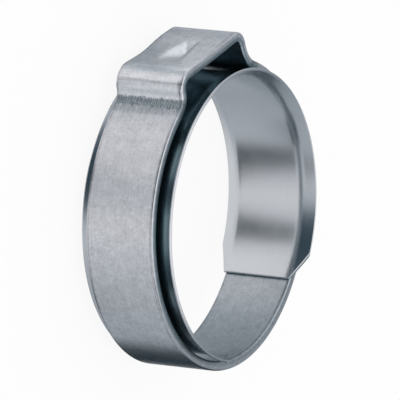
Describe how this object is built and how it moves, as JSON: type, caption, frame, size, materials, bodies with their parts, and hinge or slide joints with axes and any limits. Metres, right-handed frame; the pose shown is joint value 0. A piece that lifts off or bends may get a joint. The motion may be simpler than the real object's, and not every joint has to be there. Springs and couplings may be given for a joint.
{
  "type": "ear hose clamp",
  "caption": "One-ear pinch clamp for a hose: a seamless steel band with a dimpled ear, lined by a thin open ring with flared edges.",
  "frame": {"origin": "on the axis of the insert ring's bore, halfway along its width", "axes": "+Z along the hose, +Y towards the ear, +X to the right seen from above; the part lies flat on the flared edge of its insert ring"},
  "size_m": [0.0291, 0.0306, 0.0096],
  "materials": {
    "band_steel": "satin, tumbled, with a fine grain along the strip",
    "insert_steel": "bright rolled, nearly polished"
  },
  "bodies": {
    "root": {"outer_band": "band_steel", "insert_ring": "insert_steel"}
  },
  "joints": []
}
